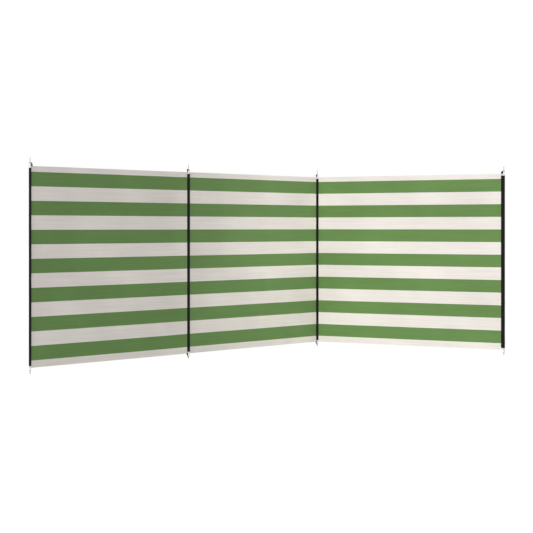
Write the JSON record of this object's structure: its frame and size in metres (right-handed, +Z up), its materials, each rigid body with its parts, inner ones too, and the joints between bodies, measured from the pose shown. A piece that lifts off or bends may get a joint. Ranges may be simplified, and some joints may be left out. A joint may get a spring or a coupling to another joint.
{
  "type": "beach windbreak",
  "caption": "Cloth windbreak in bays: striped green and cream cloth between steel poles in black sleeves, with a square corner before the last bay.",
  "frame": {"origin": "the flat tip of the foot pin of pole 2, the second pole from the far end of the straight run", "axes": "+X along the straight run towards the corner pole, +Z up, -Y towards the side that the last bay turns to"},
  "size_m": [3.625, 1.825, 1.513],
  "materials": {
    "tube_steel": "bright zinc-plated tube",
    "pin_steel": "turned and plated",
    "eyelet_nickel": "nickel-plated",
    "sleeve_cloth": "plain woven polyester",
    "webbing": "ribbed polyester webbing",
    "green_cloth": "plain weave, matt",
    "cream_cloth": "plain weave, matt"
  },
  "bodies": {
    "middle_span": {"pole_tube_2": "tube_steel", "top_pin_2": "pin_steel", "foot_pin_2": "pin_steel", "sleeve_2": "sleeve_cloth", "pole_tube_3": "tube_steel", "top_pin_3": "pin_steel", "foot_pin_3": "pin_steel", "sleeve_3": "sleeve_cloth", "top_loop_3": "webbing", "foot_loop_3": "webbing", "top_eyelet_3": "eyelet_nickel", "foot_eyelet_3": "eyelet_nickel", "bay_2_green": "green_cloth", "bay_2_cream": "cream_cloth", "bay_2_top_hem": "cream_cloth", "bay_2_foot_hem": "cream_cloth", "bay_2_patches": "cream_cloth"},
    "left_span": {"pole_tube_1": "tube_steel", "top_pin_1": "pin_steel", "foot_pin_1": "pin_steel", "sleeve_1": "sleeve_cloth", "top_tab_1": "webbing", "top_eyelet_1": "eyelet_nickel", "bay_1_green": "green_cloth", "bay_1_cream": "cream_cloth", "bay_1_top_hem": "cream_cloth", "bay_1_foot_hem": "cream_cloth", "bay_1_patches": "cream_cloth", "top_loop_2": "webbing", "top_eyelet_2": "eyelet_nickel", "foot_loop_2": "webbing", "foot_eyelet_2": "eyelet_nickel", "bay_1_binding": "sleeve_cloth"},
    "corner_span": {"pole_tube_4": "tube_steel", "top_pin_4": "pin_steel", "foot_pin_4": "pin_steel", "sleeve_4": "sleeve_cloth", "top_tab_4": "webbing", "top_eyelet_4": "eyelet_nickel", "bay_3_green": "green_cloth", "bay_3_cream": "cream_cloth", "bay_3_top_hem": "cream_cloth", "bay_3_foot_hem": "cream_cloth", "bay_3_patches": "cream_cloth", "bay_3_binding": "sleeve_cloth"}
  },
  "joints": [
    {"name": "left_span_turn", "type": "hinge", "parent": "middle_span", "child": "left_span", "pos_m": [0, 0, 0], "axis": [0, 0, -1], "range_deg": [-90, 160]},
    {"name": "corner_span_turn", "type": "hinge", "parent": "middle_span", "child": "corner_span", "pos_m": [1.8, 0, 0], "axis": [0, 0, -1], "range_deg": [-180, 70]}
  ]
}
